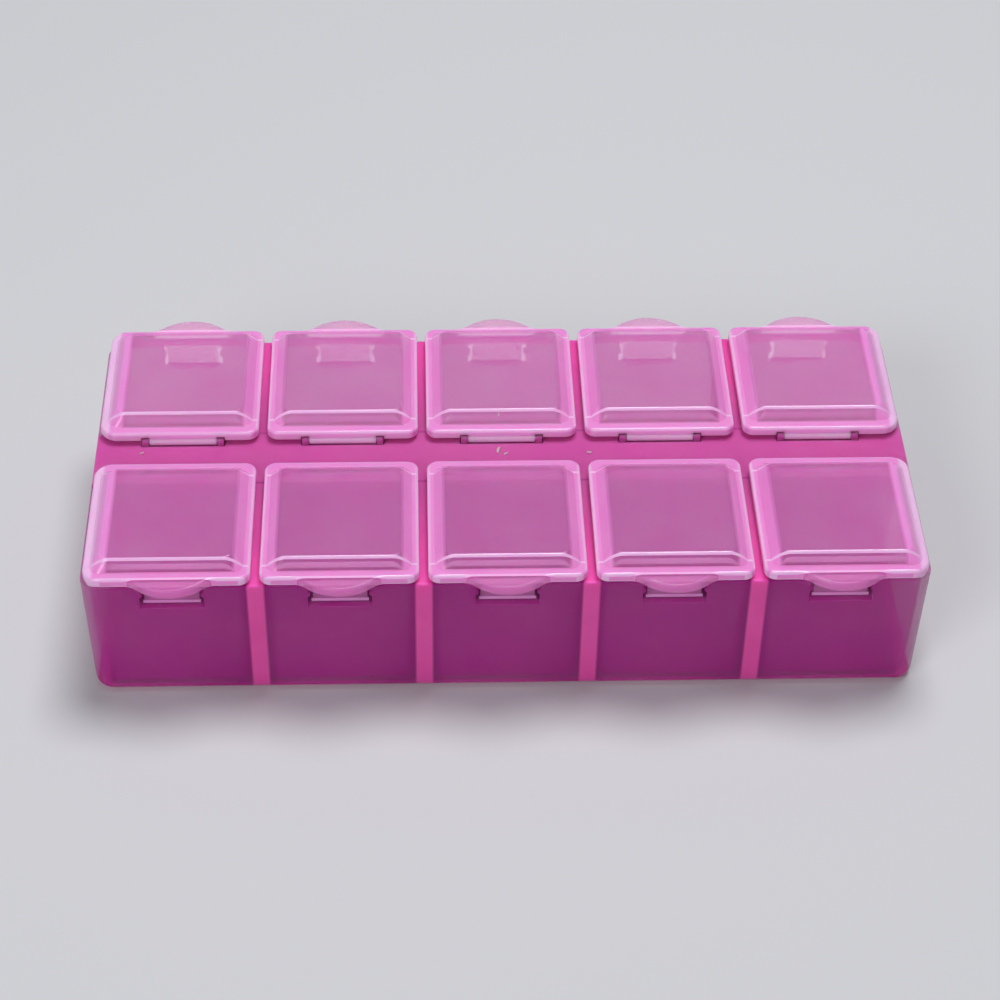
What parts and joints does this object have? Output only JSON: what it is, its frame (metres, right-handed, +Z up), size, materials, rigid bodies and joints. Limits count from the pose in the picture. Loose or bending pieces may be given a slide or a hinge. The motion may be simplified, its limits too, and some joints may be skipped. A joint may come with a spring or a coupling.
{
  "type": "bead storage box",
  "caption": "Translucent moulded bead box: a tray with two rows of compartments, each closed by its own snap lid hinged along the spine between the rows.",
  "frame": {"origin": "on the table under the middle of the box", "axes": "+X along the rows of compartments, -Y to the front, +Z up"},
  "size_m": [0.13, 0.0658, 0.0271],
  "materials": {
    "tray_polypropylene": "translucent pink polypropylene, moulded satin gloss",
    "lid_polypropylene": "milky pale pink translucent polypropylene, moulded satin gloss"
  },
  "bodies": {
    "tray": {"tray": "tray_polypropylene"},
    "lid_back_1": {"lid_back_1": "lid_polypropylene"},
    "lid_back_2": {"lid_back_2": "lid_polypropylene"},
    "lid_back_3": {"lid_back_3": "lid_polypropylene"},
    "lid_back_4": {"lid_back_4": "lid_polypropylene"},
    "lid_back_5": {"lid_back_5": "lid_polypropylene"},
    "lid_front_1": {"lid_front_1": "lid_polypropylene"},
    "lid_front_2": {"lid_front_2": "lid_polypropylene"},
    "lid_front_3": {"lid_front_3": "lid_polypropylene"},
    "lid_front_4": {"lid_front_4": "lid_polypropylene"},
    "lid_front_5": {"lid_front_5": "lid_polypropylene"}
  },
  "joints": [
    {"name": "lid_back_1_hinge", "type": "hinge", "parent": "tray", "child": "lid_back_1", "pos_m": [-0.0511, 0.00375, 0.0236], "axis": [1, 0, 0], "range_deg": [0, 90]},
    {"name": "lid_back_2_hinge", "type": "hinge", "parent": "tray", "child": "lid_back_2", "pos_m": [-0.02555, 0.00375, 0.0236], "axis": [1, 0, 0], "range_deg": [0, 90]},
    {"name": "lid_back_3_hinge", "type": "hinge", "parent": "tray", "child": "lid_back_3", "pos_m": [0, 0.00375, 0.0236], "axis": [1, 0, 0], "range_deg": [0, 90]},
    {"name": "lid_back_4_hinge", "type": "hinge", "parent": "tray", "child": "lid_back_4", "pos_m": [0.02555, 0.00375, 0.0236], "axis": [1, 0, 0], "range_deg": [0, 90]},
    {"name": "lid_back_5_hinge", "type": "hinge", "parent": "tray", "child": "lid_back_5", "pos_m": [0.0511, 0.00375, 0.0236], "axis": [1, 0, 0], "range_deg": [0, 90]},
    {"name": "lid_front_1_hinge", "type": "hinge", "parent": "tray", "child": "lid_front_1", "pos_m": [-0.0511, -0.00375, 0.0236], "axis": [-1, 0, 0], "range_deg": [0, 90]},
    {"name": "lid_front_2_hinge", "type": "hinge", "parent": "tray", "child": "lid_front_2", "pos_m": [-0.02555, -0.00375, 0.0236], "axis": [-1, 0, 0], "range_deg": [0, 90]},
    {"name": "lid_front_3_hinge", "type": "hinge", "parent": "tray", "child": "lid_front_3", "pos_m": [0, -0.00375, 0.0236], "axis": [-1, 0, 0], "range_deg": [0, 90]},
    {"name": "lid_front_4_hinge", "type": "hinge", "parent": "tray", "child": "lid_front_4", "pos_m": [0.02555, -0.00375, 0.0236], "axis": [-1, 0, 0], "range_deg": [0, 90]},
    {"name": "lid_front_5_hinge", "type": "hinge", "parent": "tray", "child": "lid_front_5", "pos_m": [0.0511, -0.00375, 0.0236], "axis": [-1, 0, 0], "range_deg": [0, 90]}
  ]
}
